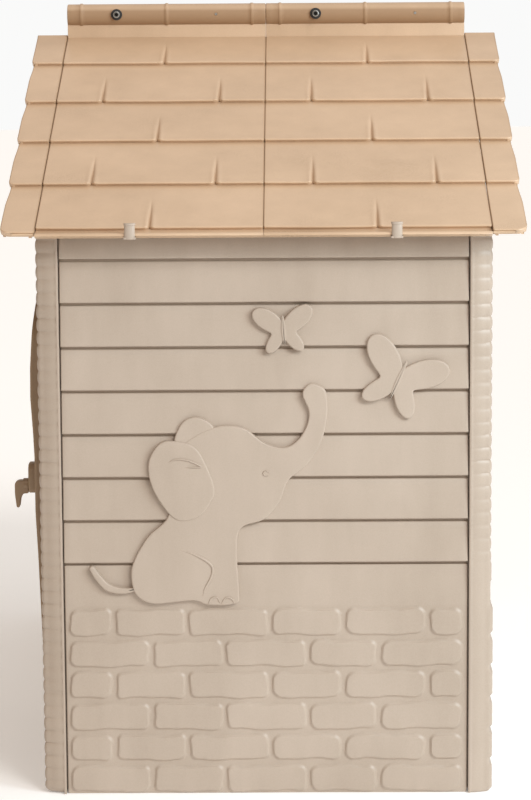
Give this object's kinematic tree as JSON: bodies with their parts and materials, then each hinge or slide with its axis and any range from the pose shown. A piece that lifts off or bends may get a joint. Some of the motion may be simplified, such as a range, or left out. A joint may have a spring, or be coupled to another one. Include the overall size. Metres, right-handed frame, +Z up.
{
  "type": "playhouse",
  "caption": "Small gable-roofed children's playhouse in moulded plastic, with an arched door, shuttered windows and plank walls.",
  "frame": {"origin": "on the floor, at the middle of the house's outline", "axes": "+Z up; the ridge runs along X, the front wall with the door is at -X; +Y is the left side as seen by someone facing the door"},
  "size_m": [0.786, 1.412, 1.208],
  "materials": {
    "wall_plastic": "fine satin, light beige",
    "roof_plastic": "satin, tan",
    "brown_plastic": "satin, brown",
    "steel": "zinc plated",
    "rubber": "black"
  },
  "bodies": {
    "house": {"centre_screw_front_high": "steel", "centre_screw_front_low": "steel", "centre_screw_rear_high": "steel", "centre_screw_rear_low": "steel", "corner_screw_front_left_high": "steel", "corner_screw_front_left_low": "steel", "corner_screw_front_right_high": "steel", "corner_screw_front_right_low": "steel", "corner_screw_rear_left_high": "steel", "corner_screw_rear_left_low": "steel", "corner_screw_rear_right_high": "steel", "corner_screw_rear_right_low": "steel", "door_hinge_pin_high": "brown_plastic", "door_hinge_pin_low": "brown_plastic", "eave_clip_left_front": "wall_plastic", "eave_clip_left_rear": "wall_plastic", "eave_clip_right_front": "wall_plastic", "eave_clip_right_rear": "wall_plastic", "front_wall_door": "wall_plastic", "front_wall_window": "wall_plastic", "rear_wall_left": "wall_plastic", "rear_wall_right": "wall_plastic", "ridge_screw_left_front": "steel", "ridge_screw_left_rear": "steel", "ridge_screw_right_front": "steel", "ridge_screw_right_rear": "steel", "ridge_washer_left_front": "rubber", "ridge_washer_left_rear": "rubber", "ridge_washer_right_front": "rubber", "ridge_washer_right_rear": "rubber", "roof_panel_left_front": "roof_plastic", "roof_panel_left_rear": "roof_plastic", "roof_panel_right_front": "roof_plastic", "roof_panel_right_rear": "roof_plastic", "side_wall_left": "wall_plastic", "side_wall_right": "wall_plastic", "verge_screw_front_left": "steel", "verge_screw_front_right": "steel", "verge_screw_rear_left": "steel", "verge_screw_rear_right": "steel", "verge_trim_front_left": "roof_plastic", "verge_trim_front_right": "roof_plastic", "verge_trim_rear_left": "roof_plastic", "verge_trim_rear_right": "roof_plastic"},
    "door": {"door_leaf": "brown_plastic", "handle_plate": "brown_plastic"},
    "door_handle": {"door_handle": "brown_plastic", "door_latch": "brown_plastic", "latch_screw": "steel"},
    "shutter_front_inner": {"shutter_front_inner": "brown_plastic"},
    "shutter_front_outer": {"shutter_front_outer": "brown_plastic"},
    "shutter_rear_right_inner": {"shutter_rear_right_inner": "brown_plastic"},
    "shutter_rear_right_outer": {"shutter_rear_right_outer": "brown_plastic"},
    "shutter_rear_left_inner": {"shutter_rear_left_inner": "brown_plastic"},
    "shutter_rear_left_outer": {"shutter_rear_left_outer": "brown_plastic"}
  },
  "joints": [
    {"name": "door_swing", "type": "hinge", "parent": "house", "child": "door", "pos_m": [-0.352, -0.128, 0.4], "axis": [0, 0, -1], "range_deg": [0, 105]},
    {"name": "door_handle_turn", "type": "hinge", "parent": "door", "child": "door_handle", "pos_m": [-0.3707, -0.525, 0.466], "axis": [-1, 0, 0], "range_deg": [0, 90]},
    {"name": "shutter_front_inner_swing", "type": "hinge", "parent": "house", "child": "shutter_front_inner", "pos_m": [-0.35, 0.192, 0.55], "axis": [0, 0, 1], "range_deg": [0, 165]},
    {"name": "shutter_front_outer_swing", "type": "hinge", "parent": "house", "child": "shutter_front_outer", "pos_m": [-0.35, 0.448, 0.55], "axis": [0, 0, -1], "range_deg": [0, 165]},
    {"name": "shutter_rear_right_inner_swing", "type": "hinge", "parent": "house", "child": "shutter_rear_right_inner", "pos_m": [0.35, -0.192, 0.55], "axis": [0, 0, 1], "range_deg": [0, 165]},
    {"name": "shutter_rear_right_outer_swing", "type": "hinge", "parent": "house", "child": "shutter_rear_right_outer", "pos_m": [0.35, -0.448, 0.55], "axis": [0, 0, -1], "range_deg": [0, 165]},
    {"name": "shutter_rear_left_inner_swing", "type": "hinge", "parent": "house", "child": "shutter_rear_left_inner", "pos_m": [0.35, 0.192, 0.55], "axis": [0, 0, -1], "range_deg": [0, 165]},
    {"name": "shutter_rear_left_outer_swing", "type": "hinge", "parent": "house", "child": "shutter_rear_left_outer", "pos_m": [0.35, 0.448, 0.55], "axis": [0, 0, 1], "range_deg": [0, 165]}
  ]
}
